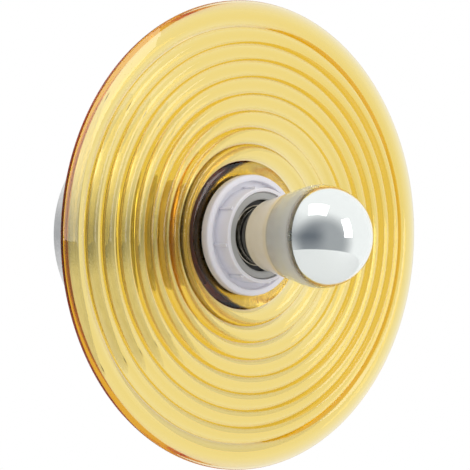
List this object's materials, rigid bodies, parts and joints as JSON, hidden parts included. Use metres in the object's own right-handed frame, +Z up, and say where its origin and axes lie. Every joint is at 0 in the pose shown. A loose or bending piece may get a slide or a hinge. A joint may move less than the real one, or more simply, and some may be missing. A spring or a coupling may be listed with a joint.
{
  "type": "wall light",
  "caption": "Round wall light: a dished, ring-ribbed amber glass disc clamped by a threaded ring to a lampholder on a tapered metal base, with a crown-silvered globe bulb.",
  "frame": {"origin": "centre of the wall face, on the lamp's axis", "axes": "+Y points into the wall along the lamp's axis, so the lamp faces -Y; +Z up, with the cable entry in the upper half of the wall plate; +X to the right seen from the front"},
  "size_m": [0.2134, 0.1497, 0.2134],
  "materials": {
    "zinc_steel": "zinc plated, satin",
    "black_rubber": "matte",
    "white_nylon": "natural nylon, matte",
    "brass": "bright turned brass",
    "screw_steel": "bright zinc",
    "tinned_copper": "tinned",
    "satin_aluminium": "spun, satin with a fine grain",
    "clear_rubber": "translucent silicone",
    "white_plastic": "moulded, semi gloss",
    "holder_plastic": "moulded, semi gloss, light grey",
    "black_phenolic": "moulded, satin",
    "shell_metal": "nickel plated",
    "brown_insulation": "silicone insulation",
    "blue_insulation": "silicone insulation",
    "green_insulation": "green and yellow insulation",
    "amber_glass": "pressed, fire polished, amber tinted in the mass",
    "solder": "dull solder",
    "clear_glass": "clear, blown",
    "silver_mirror": "silvered inside",
    "cap_metal": "nickel plated, bright",
    "black_vitrite": "black glass, gloss",
    "support_wire": "drawn wire",
    "tungsten": "drawn, dark"
  },
  "bodies": {
    "base": {"wall_plate": "zinc_steel", "cable_grommet": "black_rubber", "terminal_block": "white_nylon", "terminal_inserts": "brass", "terminal_screws": "screw_steel", "terminal_block_screw": "screw_steel", "earth_screw": "brass", "earth_tag": "tinned_copper", "base_cup": "satin_aluminium", "cup_screws": "screw_steel", "rear_gasket": "clear_rubber", "rear_ring": "white_plastic", "holder_skirt": "holder_plastic", "holder_insert": "black_phenolic", "screw_shell": "shell_metal", "centre_contact": "brass", "holder_rivets": "brass", "holder_terminals": "brass", "holder_terminal_screws": "screw_steel", "holder_cap": "holder_plastic", "entry_bush": "holder_plastic", "live_wire": "brown_insulation", "neutral_wire": "blue_insulation", "earth_wire": "green_insulation"},
    "shade": {"glass_disc": "amber_glass", "front_gasket": "clear_rubber"},
    "ring": {"shade_ring": "white_plastic"},
    "bulb_tip": {"bulb_contact": "solder"},
    "bulb": {"bulb_glass": "clear_glass", "bulb_mirror": "silver_mirror", "bulb_cap": "cap_metal", "bulb_insulator": "black_vitrite", "bulb_stem": "clear_glass", "bulb_leads": "support_wire", "bulb_filament": "tungsten"}
  },
  "joints": [
    {"name": "shade_lift", "type": "slide", "parent": "base", "child": "shade", "axis": [0, -1, 0], "range_m": [0, 0.01]},
    {"name": "ring_turn", "type": "hinge", "parent": "shade", "child": "ring", "pos_m": [0, -0.0792, 0], "axis": [0, -1, 0], "range_deg": [0, 1440]},
    {"name": "bulb_lift", "type": "slide", "parent": "base", "child": "bulb_tip", "axis": [0, -1, 0], "range_m": [0, 0.0127]},
    {"name": "bulb_turn", "type": "hinge", "parent": "bulb_tip", "child": "bulb", "pos_m": [0, -0.0896, 0], "axis": [0, -1, 0], "range_deg": [0, 1260]}
  ],
  "couplings": [
    {"joint": "ring_turn", "follows": "shade_lift", "rad_per_m": 2513.3},
    {"joint": "bulb_turn", "follows": "bulb_lift", "rad_per_m": 1731.4}
  ]
}
